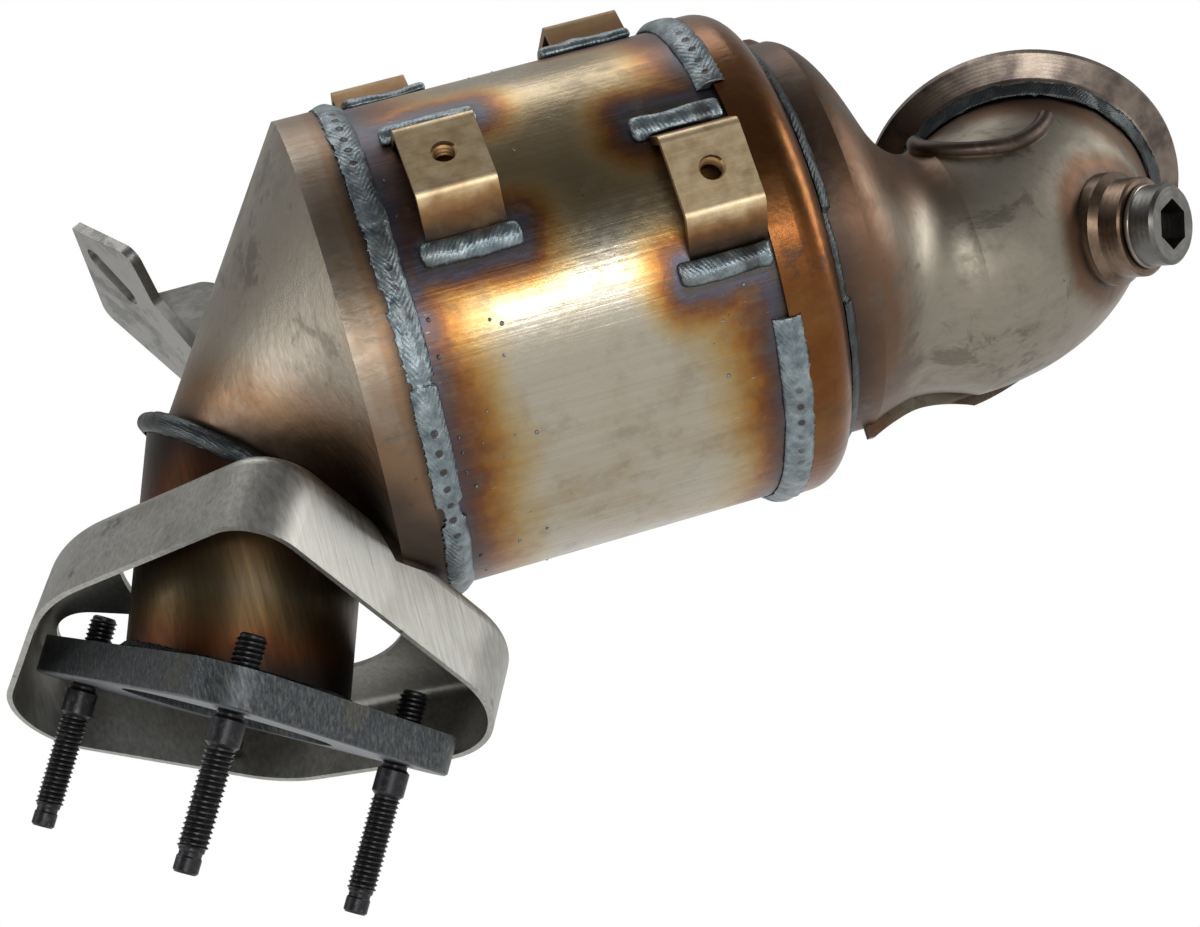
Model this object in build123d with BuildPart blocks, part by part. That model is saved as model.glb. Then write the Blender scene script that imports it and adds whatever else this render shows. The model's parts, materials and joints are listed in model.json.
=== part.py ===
from build123d import *
import os
from math import asin, cos, degrees, pi, radians, sin

os.makedirs("parts", exist_ok=True)

# Driving dimensions in millimetres, with the sealing face of the outlet flange at the origin
# Fits shared by the pieces
slip = 0.3
seat = 0.05
sheet = 1.5

# Can body
can_x = 70.5
can_z = 82.8
shell_r = 66.0
shell_start = -13.0
shell_end = 99.0
mat_t = 5.3
brick_r = shell_r - sheet - mat_t
brick_start = 4.0
brick_end = 86.0
seal_ring_length = 5.0

# Outlet cone and its collar over the shell
collar_r = shell_r + slip + sheet
ridge_over = 3.5
ridge_x = shell_start - ridge_over
collar_lap = 10.5
collar_end = shell_start + collar_lap
snout_gap = 0.6
snout_length = 8.0

# Inlet cap
cap_lap = 7.0
cap_start = shell_end - cap_lap
cap_depth = 16.7
cap_face = cap_start + cap_depth
cap_round = 9.5
cap_lip = 2.7
bell_r = collar_r - cap_round - cap_lip

# Ring welds
bead_rise = 1.4
bead_crown_r = collar_r + bead_rise
bead_low = 0.7
bead_inset = 1.2
bead_on_collar = 4.0
bead_on_shell = 5.1
elbow_bead_leg = 4.2
elbow_bead_low = 0.7 * elbow_bead_leg
bead_roundness = 1.15

# Outlet flange and pipe
flange_t = 10.5
flange_corner_r = 14.0
flange_edge = 0.6
stud_long = 58.2
stud_back = 33.65
stud_side = 31.46
pipe_r = 30.0
pipe_wall = 1.6
pipe_reach = 90.0
pipe_tail = 20.0
pipe_bead = 2.6
gas_step = 0.1
gas_r = pipe_r - pipe_wall + gas_step
snout_r = pipe_r - pipe_wall - snout_gap
joint_bead_r = 3.3
joint_bead_sink = 0.4

# Studs
thread_r = 3.92
stud_hole_gap = 0.08
stud_hole_r = thread_r + stud_hole_gap
stud_hole_chamfer = 1.0
stud_inner = 9.0
stud_lead = 2.2
stud_collar_step = 0.43
stud_collar_r = thread_r + stud_collar_step
stud_collar_length = 6.6
stud_thread_length = 26.5
stud_dog_step = 0.72
stud_dog_r = thread_r - stud_dog_step
stud_dog_length = 5.2
stud_point = 0.6

# Shield clips
clip_width = 20.8
clip_plate = 22.7
clip_rise = 9.1
clip_top_r = shell_r + clip_rise
clip_sheet = 2.2
clip_foot_low = 18.3
clip_foot_high = 16.3
clip_foot_flare = 1.5
clip_foot_sink = 5.0
clip_bend = 3.0
clip_tap_r = 3.4
clip_neck_wall = 2.0
clip_neck_drop = 3.4
clip_bead_r = 4.0
clip_bead_low = 0.72 * clip_bead_r
clip_bead_rise = 0.6
clip_bead_over = 3.0
clip_bead_end = 1.7
clip_bead_out = 0.4
clip_bead_length = clip_width + 2 * clip_bead_over

# Inlet elbow and V-band ring
duct_r = 36.0
duct_flush = 0.1
duct_drop = bell_r - duct_r - duct_flush
bell_start = cap_face - 4.5
bell_end = cap_face + 11.3
neck_length = 33.9
neck_waist = 4.5
neck_fall = 0.77
neck_steps = (0.18, 0.32, 0.53, 0.77)
bend_start = bell_end + neck_length
bend_r = 36.5
bend_angle = 70.2
lip = 3.4
lip_start = bell_end - 2.0
fold_r = 2.4
fold_rise = 0.6
fold_places = ((0, 62), (4, 84), (15, 93), (28, 101), (40, 104), (50, 104))
seam_turn = 22.0
ring_bore_r = 34.4
ring_neck_wall = 4.2
ring_neck_r = ring_bore_r + ring_neck_wall
ring_step_wall = 5.1
ring_step_r = ring_bore_r + ring_step_wall
ring_lip = 5.8
ring_r = ring_step_r + ring_lip
ring_rim = 2.6
ring_back = 7.4
ring_step = 1.2
ring_bead_length = 4.6

# Sensor boss and its plug
boss_r = 13.6
boss_foot = 2.0
boss_rise = 9.0
boss_top = duct_r + boss_rise
boss_step = 6.4
boss_depth = 19.0
boss_edge = 0.6
boss_turn = 37.7
boss_lean = 19.05
plug_thread_r = 9.0
plug_length = 12.0
plug_head_over = 2.0
plug_head_r = plug_thread_r + plug_head_over
plug_head_height = 6.85
plug_edge = 0.9
plug_gasket = 1.6
gasket_over = 0.5
plug_socket = 12.0
plug_socket_depth = 8.0

# Guard around the outlet flange
guard_height = 24.0
guard_sheet = 1.6
guard_edge_round = 4.5
guard_hole_r = pipe_r + 9.5
guard_slot_r = 16.0
guard_slot_length = 48.0
guard_gap = 2.0
guard_corners = (
    ((-85.3, 28.1), 20),
    ((-1.0, 45.2), 40),
    ((81.5, 15.3), 28),
    ((26.9, -82.2), 15),
    ((-45.1, -39.9), 60),
)

# Slotted bracket and its gusset
bracket_sheet = 3.0
bracket_round = 4.0
slot_width = 9.0
slot_length = 21.0
gusset_y = 50.0
gusset_round = 8.0

# Planes on the can and the outlet
across = Plane(origin=(can_x, 0, can_z), x_dir=(0, 0, 1), z_dir=(1, 0, 0))
along = Plane(origin=(can_x, 0, can_z), x_dir=(1, 0, 0), z_dir=(0, -1, 0))
can_axis = Axis((can_x, 0, can_z), (1, 0, 0))
seal_plane = Plane(origin=(0, 0, 0), x_dir=(-0.6217, 0.6828, 0.3836), z_dir=(-0.525, 0, -0.851))
flange_top = Plane(
    origin=-seal_plane.z_dir * flange_t, x_dir=(0.851, 0, -0.525), z_dir=(0.525, 0, 0.851)
)
pipe_plane = Plane(origin=flange_top.origin, x_dir=(0, -1, 0), z_dir=(0.3535, 0, 0.9354))
exit_plane = Plane(
    origin=(can_x - 45.9, 0, can_z - 23.4), x_dir=(-0.737, 0, 0.676), z_dir=(0.676, 0, 0.737)
)
guard_plane = Plane(origin=(5.6, 7.1, 4.6), x_dir=(0.878, -0.340, -0.338), z_dir=(0.467, 0.448, 0.762))
bracket_plane = Plane(
    origin=(can_x - 69.4, 52.2, can_z + 53.1), x_dir=(0.447, 0.037, -0.894), z_dir=(-0.882, -0.155, -0.448)
)

# Planes on the elbow, whose bend turns up and away from the can's axis
bend_side = Vector(0, 0.722, 0.692)
bend_across = Vector(0, -0.692, 0.722)
bend_base = Vector(can_x + bend_start, 0, can_z - duct_drop)
bend_axis = Axis(bend_base + bend_side * bend_r, bend_across)


def bend_section(turn):
    """Plane across the bend's centre line, its first axis toward the outside of the bend."""
    forward = Vector(1, 0, 0) * cos(radians(turn)) + bend_side * sin(radians(turn))
    outward = Vector(1, 0, 0) * sin(radians(turn)) - bend_side * cos(radians(turn))
    return Plane(origin=bend_base + bend_side * bend_r + outward * bend_r, x_dir=outward, z_dir=forward)


ring_plane = bend_section(bend_angle).offset(ring_back + seat)
boss_section = bend_section(boss_turn)
boss_out = boss_section.x_dir * cos(radians(boss_lean)) + bend_across * sin(radians(boss_lean))
boss_plane = Plane(origin=boss_section.origin, x_dir=boss_section.z_dir, z_dir=boss_out)
seam_plane = Plane(
    origin=(can_x + bell_end, 0, can_z),
    x_dir=(cos(radians(seam_turn)), sin(radians(seam_turn)), 0),
    z_dir=(sin(radians(seam_turn)), -cos(radians(seam_turn)), 0),
)


def upright(face):
    """Plane through a face's centre whose second axis is the face's normal, for turned profiles."""
    return Plane(origin=face.origin, x_dir=face.x_dir, z_dir=-face.y_dir)


def turned_tube(x_start, x_end, r_outer, r_inner):
    """A ring on the can's axis."""
    with BuildPart() as tube:
        with BuildSketch(across.offset(x_start)):
            Circle(r_outer)
            Circle(r_inner, mode=Mode.SUBTRACT)
        extrude(amount=x_end - x_start)
    return tube


# Shell, brick and mat inside it
can_shell = turned_tube(shell_start, shell_end, shell_r, shell_r - sheet)
can_shell.part.label = "can_shell"
export_step(can_shell.part, "parts/can_shell.step")

with BuildPart() as catalyst_brick:
    with BuildSketch(across.offset(brick_start)):
        Circle(brick_r)
    extrude(amount=brick_end - brick_start)
catalyst_brick.part.label = "catalyst_brick"
export_step(catalyst_brick.part, "parts/catalyst_brick.step")

mat_start = brick_start + seal_ring_length
mat_end = brick_end - seal_ring_length
support_mat = turned_tube(mat_start, mat_end, shell_r - sheet - seat, brick_r + seat)
support_mat.part.label = "support_mat"
export_step(support_mat.part, "parts/support_mat.step")

mat_seal_outlet = turned_tube(brick_start, mat_start - seat, shell_r - sheet - seat, brick_r + seat)
mat_seal_outlet.part.label = "mat_seal_outlet"
export_step(mat_seal_outlet.part, "parts/mat_seal_outlet.step")

mat_seal_inlet = turned_tube(mat_end + seat, brick_end, shell_r - sheet - seat, brick_r + seat)
mat_seal_inlet.part.label = "mat_seal_inlet"
export_step(mat_seal_inlet.part, "parts/mat_seal_inlet.step")


# Outlet cone, a ruled sheet from the ridge circle down to the pipe
def cone_core(ridge_r, ridge_at, mouth_r, collar_bore):
    """Solid inside one skin of the cone, with its collar and its snout."""
    with BuildPart() as core:
        with BuildSketch(exit_plane):
            Circle(mouth_r)
        with BuildSketch(across.offset(ridge_at)):
            Circle(ridge_r)
        loft(ruled=True)
        with BuildSketch(across.offset(ridge_at)):
            Circle(collar_bore)
        extrude(amount=collar_end - ridge_at)
        with BuildSketch(exit_plane):
            Circle(mouth_r)
        extrude(amount=snout_length, dir=-pipe_plane.z_dir)
    return core


cone_skin = cone_core(collar_r, ridge_x, snout_r, collar_r)
cone_hollow = cone_core(shell_r + slip, ridge_x + sheet * 0.7, snout_r - sheet, shell_r + slip)

with BuildPart() as outlet_cone:
    add(cone_skin.part)
    add(cone_hollow.part, mode=Mode.SUBTRACT)
outlet_cone.part.label = "outlet_cone"
export_step(outlet_cone.part, "parts/outlet_cone.step")

# Inlet cap over the far end of the shell
with BuildPart() as inlet_cap:
    with BuildSketch(along):
        with BuildLine():
            Polyline(
                (cap_start, shell_r + slip),
                (cap_start, collar_r),
                (cap_face - cap_round, collar_r),
            )
            RadiusArc((cap_face - cap_round, collar_r), (cap_face, collar_r - cap_round), cap_round)
            Polyline(
                (cap_face, collar_r - cap_round),
                (cap_face, bell_r + seat),
                (cap_face - sheet, bell_r + seat),
                (cap_face - sheet, collar_r - cap_round),
            )
            RadiusArc(
                (cap_face - sheet, collar_r - cap_round),
                (cap_face - cap_round, shell_r + slip),
                -(cap_round - sheet),
            )
            Line((cap_face - cap_round, shell_r + slip), (cap_start, shell_r + slip))
        make_face()
    revolve(axis=can_axis)
inlet_cap.part.label = "inlet_cap"
export_step(inlet_cap.part, "parts/inlet_cap.step")


# Ring welds, each a low bead with raised runs where the torch passed
def bead_profile(x_start, x_end, x_step, r_left, r_right, crown_r):
    """Closed outline of a bead that lies on a step from one radius to another."""
    Polyline((x_start, r_left), (x_step, r_left), (x_step, r_right), (x_end, r_right))
    ThreePointArc((x_end, r_right), ((x_start + x_end) / 2, crown_r), (x_start, r_left))


def ring_weld(ends, radii, crown_r, runs, base):
    """A low ring bead and its raised runs, as clock angles from the top toward the front."""
    x_start, x_step, x_end = ends
    with BuildPart() as weld:
        with BuildSketch(along.rotated((base[0], 0, 0))):
            with BuildLine():
                bead_profile(x_start + bead_inset, x_end - bead_inset, x_step, *radii, crown_r - bead_low)
            make_face()
        revolve(axis=can_axis, revolution_arc=base[1] - base[0])
        for run_from, run_to in runs:
            with BuildSketch(along.rotated((run_from, 0, 0))):
                with BuildLine():
                    bead_profile(x_start, x_end, x_step, *radii, crown_r)
                make_face()
            revolve(axis=can_axis, revolution_arc=run_to - run_from)
    return weld


outlet_ring_weld = ring_weld(
    (collar_end - bead_on_collar, collar_end + seat, collar_end + bead_on_shell),
    (collar_r + seat, shell_r + seat),
    bead_crown_r,
    ((17, 108), (109.5, 138), (143, 176), (180, 268), (271, 330), (333, 374)),
    (0, 360),
)
outlet_ring_weld.part.label = "outlet_ring_weld"
export_step(outlet_ring_weld.part, "parts/outlet_ring_weld.step")

inlet_ring_weld = ring_weld(
    (cap_start - bead_on_shell, cap_start - seat, cap_start + bead_on_collar),
    (shell_r + seat, collar_r + seat),
    bead_crown_r,
    ((-72, -3), (1, 60), (115.5, 186), (190, 232), (236, 284)),
    (115.5, 420),
)
inlet_ring_weld.part.label = "inlet_ring_weld"
export_step(inlet_ring_weld.part, "parts/inlet_ring_weld.step")

elbow_runs = (
    (0, 360, elbow_bead_low),
    (16, 95, elbow_bead_leg),
    (119, 174, elbow_bead_leg),
    (190, 262, elbow_bead_leg),
    (270, 356, elbow_bead_leg),
)
with BuildPart() as elbow_weld:
    for bead_from, bead_to, leg in elbow_runs:
        root = (cap_face + seat, bell_r + seat)
        on_cap = (root[0], root[1] + leg)
        on_bell = (root[0] + leg, root[1])
        with BuildSketch(along.rotated((bead_from, 0, 0))):
            with BuildLine():
                Polyline(on_cap, root, on_bell)
                RadiusArc(on_bell, on_cap, -leg * bead_roundness)
            make_face()
        revolve(axis=can_axis, revolution_arc=bead_to - bead_from)
elbow_weld.part.label = "elbow_weld"
export_step(elbow_weld.part, "parts/elbow_weld.step")

# Outlet pipe between the flange and the cone
with BuildPart() as pipe_core:
    with BuildSketch(pipe_plane.offset(-pipe_tail)):
        Circle(pipe_r)
    extrude(amount=pipe_tail + pipe_reach)
    split(bisect_by=flange_top, keep=Keep.TOP)
    split(bisect_by=exit_plane, keep=Keep.BOTTOM)

with BuildPart() as outlet_pipe:
    add(pipe_core.part)
    with BuildSketch(pipe_plane.offset(-pipe_tail)):
        Circle(pipe_r - pipe_wall)
    extrude(amount=pipe_tail + pipe_reach, mode=Mode.SUBTRACT)
    add(cone_skin.part, mode=Mode.SUBTRACT)
outlet_pipe.part.label = "outlet_pipe"
export_step(outlet_pipe.part, "parts/outlet_pipe.step")

joint_lean = pipe_plane.z_dir.dot(exit_plane.z_dir)
with BuildPart() as pipe_weld:
    with BuildLine(exit_plane) as joint:
        EllipticalCenterArc(
            (0, 0),
            pipe_r / joint_lean - joint_bead_sink,
            pipe_r - joint_bead_sink,
            start_angle=0,
            arc_size=360,
        )
    with BuildSketch(Plane(origin=joint.line @ 0, z_dir=joint.line % 0)):
        Circle(joint_bead_r)
    sweep()
    add(pipe_core.part, mode=Mode.SUBTRACT)
    add(cone_skin.part, mode=Mode.SUBTRACT)
pipe_weld.part.label = "pipe_weld"
export_step(pipe_weld.part, "parts/pipe_weld.step")

# Outlet flange, the hull of three discs round its studs
stud_places = ((stud_long, 0), (-stud_back, -stud_side), (-stud_back, stud_side))

with BuildPart() as outlet_flange:
    with BuildSketch(seal_plane):
        with Locations(*stud_places):
            Circle(flange_corner_r)
        make_hull()
        Circle(gas_r, mode=Mode.SUBTRACT)
        with Locations(*stud_places):
            Circle(stud_hole_r, mode=Mode.SUBTRACT)
    extrude(amount=-flange_t)
    seal_side = Axis(seal_plane.origin, seal_plane.z_dir)
    round_edges = outlet_flange.faces().sort_by(seal_side)[-1].edges().filter_by(GeomType.CIRCLE)
    chamfer(round_edges.sort_by(SortBy.RADIUS)[: len(stud_places)], stud_hole_chamfer)
    chamfer(outlet_flange.faces().sort_by(seal_side)[-1].outer_wire().edges(), flange_edge)
outlet_flange.part.label = "outlet_flange"
export_step(outlet_flange.part, "parts/outlet_flange.step")

flange_lean = pipe_plane.z_dir.dot(flange_top.z_dir)
with BuildPart() as flange_weld:
    with BuildSketch(flange_top):
        Ellipse(pipe_r / flange_lean + pipe_bead, pipe_r + pipe_bead)
    extrude(amount=pipe_bead, taper=40)
    with BuildSketch(pipe_plane.offset(-pipe_tail)):
        Circle(pipe_r + seat)
    extrude(amount=pipe_reach, mode=Mode.SUBTRACT)
flange_weld.part.label = "flange_weld"
export_step(flange_weld.part, "parts/flange_weld.step")


def flange_stud(place):
    """Stud with a plain collar and a dog point, turned about its hole in the flange."""
    place_on_face = seal_plane.from_local_coords((place[0], place[1], 0))
    face = Plane(origin=place_on_face, x_dir=seal_plane.x_dir, z_dir=seal_plane.z_dir)
    heights = (-flange_t - stud_inner, stud_lead, stud_lead + stud_collar_length)
    thread_end = heights[2] + stud_thread_length
    with BuildPart() as stud:
        with BuildSketch(upright(face)):
            with BuildLine():
                Polyline(
                    (0, heights[0]),
                    (thread_r - stud_point, heights[0]),
                    (thread_r, heights[0] + stud_point),
                    (thread_r, heights[1] - stud_collar_step),
                    (stud_collar_r, heights[1]),
                    (stud_collar_r, heights[2] - stud_collar_step),
                    (thread_r, heights[2]),
                    (thread_r, thread_end - stud_dog_step),
                    (stud_dog_r, thread_end),
                    (stud_dog_r, thread_end + stud_dog_length - stud_point),
                    (stud_dog_r - stud_point, thread_end + stud_dog_length),
                    (0, thread_end + stud_dog_length),
                    close=True,
                )
            make_face()
        revolve(axis=Axis(face.origin, face.z_dir))
    return stud


stud_left = flange_stud(stud_places[0])
stud_left.part.label = "stud_left"
export_step(stud_left.part, "parts/stud_left.step")

stud_middle = flange_stud(stud_places[1])
stud_middle.part.label = "stud_middle"
export_step(stud_middle.part, "parts/stud_middle.step")

stud_right = flange_stud(stud_places[2])
stud_right.part.label = "stud_right"
export_step(stud_right.part, "parts/stud_right.step")


# Guard, a pressed pan with a round hole for the pipe
def ring_space(over):
    """Room that the can, its collar and the cone need, grown by a margin."""
    with BuildPart() as room:
        with BuildSketch(across.offset(ridge_x - over)):
            Circle(collar_r + over)
        extrude(amount=cap_face - ridge_x)
        with BuildSketch(exit_plane):
            Circle(pipe_r + over)
        with BuildSketch(across.offset(ridge_x - over)):
            Circle(collar_r + over)
        loft(ruled=True)
    return room


with BuildPart() as outlet_guard:
    with BuildSketch(guard_plane) as pan:
        with BuildLine():
            Polyline(*(place for place, _ in guard_corners), close=True)
        make_face()
        for place, corner_r in guard_corners:
            fillet(pan.vertices().sort_by_distance(Vector(*place))[0], corner_r)
    extrude(amount=guard_height)
    guard_rise = Axis(guard_plane.origin, guard_plane.z_dir)
    fillet(outlet_guard.faces().sort_by(guard_rise)[-1].edges(), guard_edge_round)
    bottom_face = outlet_guard.faces().sort_by(guard_rise)[0]
    offset(amount=-guard_sheet, openings=bottom_face)
    with BuildSketch(guard_plane.offset(guard_height / 2)):
        with Locations((4, -18)):
            Circle(guard_hole_r)
        with Locations((-42, 13)):
            SlotOverall(guard_slot_length, 2 * guard_slot_r)
    extrude(amount=guard_height, mode=Mode.SUBTRACT)
    with BuildSketch(pipe_plane):
        Circle(pipe_r + slip)
    extrude(amount=pipe_reach, mode=Mode.SUBTRACT)
    add(ring_space(guard_gap).part, mode=Mode.SUBTRACT)
outlet_guard.part.label = "outlet_guard"
export_step(outlet_guard.part, "parts/outlet_guard.step")


# Hat-shaped clips on the shell and the beads along their feet
def clip_path(clock, x_start):
    """Plane across the can at a clip's first edge, its first axis out through the clip's middle."""
    return across.offset(x_start).rotated((clock, 0, 0))


def shield_clip(clock, x_start):
    """One folded strip with a drawn and tapped neck."""
    face = clip_path(clock, x_start)
    half = clip_plate / 2
    middle = Plane(
        origin=face.from_local_coords((clip_top_r, 0, clip_width / 2)),
        x_dir=face.z_dir,
        z_dir=face.x_dir,
    )
    with BuildPart() as clip:
        with BuildSketch(face):
            with BuildLine():
                FilletPolyline(
                    (shell_r - clip_foot_sink, -clip_foot_high - clip_foot_flare),
                    (clip_top_r, -half),
                    (clip_top_r, half),
                    (shell_r - clip_foot_sink, clip_foot_low + clip_foot_flare),
                    radius=clip_bend,
                )
                offset(amount=clip_sheet, side=Side.LEFT)
            make_face()
        extrude(amount=clip_width)
        with BuildSketch(middle.offset(-clip_sheet / 2)):
            Circle(clip_tap_r + clip_neck_wall)
        extrude(amount=-clip_neck_drop - clip_sheet / 2)
        with BuildSketch(middle):
            Circle(clip_tap_r)
        extrude(amount=-clip_sheet - clip_neck_drop, both=True, mode=Mode.SUBTRACT)
        with BuildSketch(across.offset(x_start)):
            Circle(shell_r + seat)
        extrude(amount=clip_width, mode=Mode.SUBTRACT)
    return clip


def clip_bead(clock, x_start, side, clip, length=clip_bead_length):
    """Rounded bead beside one foot of a clip, side 1 at its low foot and -1 at its high one."""
    foot = clip_foot_low if side > 0 else clip_foot_high
    turn = degrees(asin((foot + clip_sheet + clip_bead_out) / shell_r))
    face = clip_path(clock + side * turn, x_start)
    with BuildPart() as bead:
        with BuildSketch(face):
            with Locations((shell_r + clip_bead_rise, 0)):
                Ellipse(clip_bead_low, clip_bead_r)
        extrude(amount=length)
        fillet(bead.edges().filter_by(GeomType.ELLIPSE), clip_bead_end)
        with BuildSketch(across.offset(x_start - clip_bead_over)):
            Circle(shell_r + seat)
        extrude(amount=length + 2 * clip_bead_over, mode=Mode.SUBTRACT)
        add(clip.part, mode=Mode.SUBTRACT)
    return bead


clip_front_outlet = shield_clip(64.5, 9.0)
clip_front_outlet.part.label = "clip_front_outlet"
export_step(clip_front_outlet.part, "parts/clip_front_outlet.step")
bead_front_outlet_low = clip_bead(64.5, 6.0, 1, clip_front_outlet)
bead_front_outlet_low.part.label = "bead_front_outlet_low"
export_step(bead_front_outlet_low.part, "parts/bead_front_outlet_low.step")
bead_front_outlet_high = clip_bead(64.5, 6.0, -1, clip_front_outlet)
bead_front_outlet_high.part.label = "bead_front_outlet_high"
export_step(bead_front_outlet_high.part, "parts/bead_front_outlet_high.step")

clip_front_inlet = shield_clip(82.8, 71.0)
clip_front_inlet.part.label = "clip_front_inlet"
export_step(clip_front_inlet.part, "parts/clip_front_inlet.step")
bead_front_inlet_low = clip_bead(82.8, 66.8, 1, clip_front_inlet, 25.0)
bead_front_inlet_low.part.label = "bead_front_inlet_low"
export_step(bead_front_inlet_low.part, "parts/bead_front_inlet_low.step")
bead_front_inlet_high = clip_bead(82.8, 66.8, -1, clip_front_inlet, 25.0)
bead_front_inlet_high.part.label = "bead_front_inlet_high"
export_step(bead_front_inlet_high.part, "parts/bead_front_inlet_high.step")

clip_top_outlet = shield_clip(-11.0, 2.8)
clip_top_outlet.part.label = "clip_top_outlet"
export_step(clip_top_outlet.part, "parts/clip_top_outlet.step")
bead_top_outlet_low = clip_bead(-11.0, 3.2, 1, clip_top_outlet, 24.0)
bead_top_outlet_low.part.label = "bead_top_outlet_low"
export_step(bead_top_outlet_low.part, "parts/bead_top_outlet_low.step")
bead_top_outlet_high = clip_bead(-11.0, 3.2, -1, clip_top_outlet, 24.0)
bead_top_outlet_high.part.label = "bead_top_outlet_high"
export_step(bead_top_outlet_high.part, "parts/bead_top_outlet_high.step")

clip_top_inlet = shield_clip(-3.0, 63.4)
clip_top_inlet.part.label = "clip_top_inlet"
export_step(clip_top_inlet.part, "parts/clip_top_inlet.step")
bead_top_inlet_low = clip_bead(-3.0, 57.5, 1, clip_top_inlet)
bead_top_inlet_low.part.label = "bead_top_inlet_low"
export_step(bead_top_inlet_low.part, "parts/bead_top_inlet_low.step")
bead_top_inlet_high = clip_bead(-3.0, 57.5, -1, clip_top_inlet, 24.0)
bead_top_inlet_high.part.label = "bead_top_inlet_high"
export_step(bead_top_inlet_high.part, "parts/bead_top_inlet_high.step")


# Inlet elbow in two pressed halves that meet at a lipped seam
def elbow_body(skin):
    """The elbow's outer form as one solid, drawn in by the given skin."""
    with BuildPart() as bend:
        with BuildSketch(bend_section(0)):
            Circle(duct_r - skin)
            Rectangle(2 * bend_r - slip, 4 * duct_r, mode=Mode.INTERSECT)
        revolve(axis=bend_axis, revolution_arc=bend_angle)
    with BuildPart() as body:
        with BuildSketch(across.offset(bell_start)):
            Circle(bell_r - skin)
        extrude(amount=bell_end - bell_start)
        with BuildSketch(across.offset(bell_end)):
            Circle(bell_r - skin)
        for share in neck_steps:
            fall = (1 - cos(pi * min(share / neck_fall, 1))) / 2
            top = bell_r - (bell_r - duct_r + duct_drop) * fall
            bottom = neck_waist * sin(pi * share) - bell_r
            with BuildSketch(across.offset(bell_end + neck_length * share)):
                with Locations(((top + bottom) / 2, 0)):
                    Circle((top - bottom) / 2 - skin)
        with BuildSketch(across.offset(bend_start)):
            with Locations((-duct_drop, 0)):
                Circle(duct_r - skin)
        loft()
        add(bend.part)
    return body


def fold_point(turn, clock):
    """Point of the rolled fold on the bend, its clock angle from the inside of the bend."""
    section = bend_section(turn)
    reach = duct_r + fold_rise
    inward = section.x_dir * (-reach * cos(radians(clock)))
    return section.origin + inward + bend_across * (reach * sin(radians(clock)))


elbow_skin = elbow_body(0)
elbow_hollow = elbow_body(sheet)
elbow_rim = elbow_body(-lip)

with BuildPart() as seam_lip:
    with BuildSketch(seam_plane):
        Rectangle(400, 400)
    extrude(amount=sheet, both=True)
    add(elbow_rim.part, mode=Mode.INTERSECT)
    split(bisect_by=across.offset(lip_start), keep=Keep.TOP)
    with BuildSketch(ring_plane.offset(-ring_back - ring_bead_length)):
        Circle(2 * duct_r)
    extrude(amount=2 * duct_r, mode=Mode.SUBTRACT)

with BuildPart() as rolled_fold:
    with BuildLine() as fold_path:
        Spline(*(fold_point(turn, clock) for turn, clock in fold_places))
    with BuildSketch(Plane(origin=fold_path.line @ 0, z_dir=fold_path.line % 0)):
        Circle(fold_r)
    sweep()
    for end in (fold_path.line @ 0, fold_path.line @ 1):
        with Locations(end):
            Sphere(fold_r)


def elbow_half(side):
    """One pressed half with its lip."""
    with BuildPart() as half:
        add(elbow_skin.part)
        add(seam_lip.part)
        if side == Keep.TOP:
            add(rolled_fold.part)
        add(elbow_hollow.part, mode=Mode.SUBTRACT)
        split(bisect_by=seam_plane, keep=side)
        with BuildSketch(boss_plane.offset(duct_r / 2)):
            Circle(plug_thread_r + seat)
        extrude(amount=duct_r, mode=Mode.SUBTRACT)
    return half


elbow_near_shell = elbow_half(Keep.TOP)
elbow_near_shell.part.label = "elbow_near_shell"
export_step(elbow_near_shell.part, "parts/elbow_near_shell.step")

elbow_far_shell = elbow_half(Keep.BOTTOM)
elbow_far_shell.part.label = "elbow_far_shell"
export_step(elbow_far_shell.part, "parts/elbow_far_shell.step")

# V-band ring on the elbow's mouth
with BuildPart() as inlet_ring:
    with BuildSketch(upright(ring_plane)):
        with BuildLine():
            Polyline(
                (ring_bore_r, -ring_back),
                (ring_neck_r, -ring_back),
                (ring_step_r, -ring_back + 1.0),
                (ring_r, -ring_rim),
                (ring_r, -0.4),
                (ring_r - 0.4, 0),
                (ring_step_r, 0),
                (ring_step_r, -ring_step),
                (ring_bore_r, -ring_step),
                close=True,
            )
        make_face()
    revolve(axis=Axis(ring_plane.origin, ring_plane.z_dir))
inlet_ring.part.label = "inlet_ring"
export_step(inlet_ring.part, "parts/inlet_ring.step")

with BuildPart() as ring_bead:
    with BuildSketch(upright(ring_plane)):
        with BuildLine():
            Polyline(
                (duct_r - sheet, -ring_back - seat),
                (ring_neck_r + sheet, -ring_back - seat),
                (duct_r + sheet, -ring_back - ring_bead_length),
                (duct_r - sheet, -ring_back - ring_bead_length),
                close=True,
            )
        make_face()
    revolve(axis=Axis(ring_plane.origin, ring_plane.z_dir))
    add(elbow_skin.part, mode=Mode.SUBTRACT)
    add(seam_lip.part, mode=Mode.SUBTRACT)
ring_bead.part.label = "ring_bead"
export_step(ring_bead.part, "parts/ring_bead.step")

# Sensor boss, gasket and socket plug
boss_axis = Axis(boss_plane.origin, boss_plane.z_dir)
with BuildPart() as sensor_boss:
    with BuildSketch(upright(boss_plane)):
        with BuildLine():
            Polyline(
                (plug_thread_r + seat, boss_top - boss_depth),
                (boss_r + boss_foot, boss_top - boss_depth),
                (boss_r + boss_foot, boss_top - boss_step - boss_foot),
                (boss_r, boss_top - boss_step),
                (boss_r, boss_top - boss_edge),
                (boss_r - boss_edge, boss_top),
                (plug_thread_r + seat, boss_top),
                close=True,
            )
        make_face()
    revolve(axis=boss_axis)
    add(elbow_skin.part, mode=Mode.SUBTRACT)
sensor_boss.part.label = "sensor_boss"
export_step(sensor_boss.part, "parts/sensor_boss.step")

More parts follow.
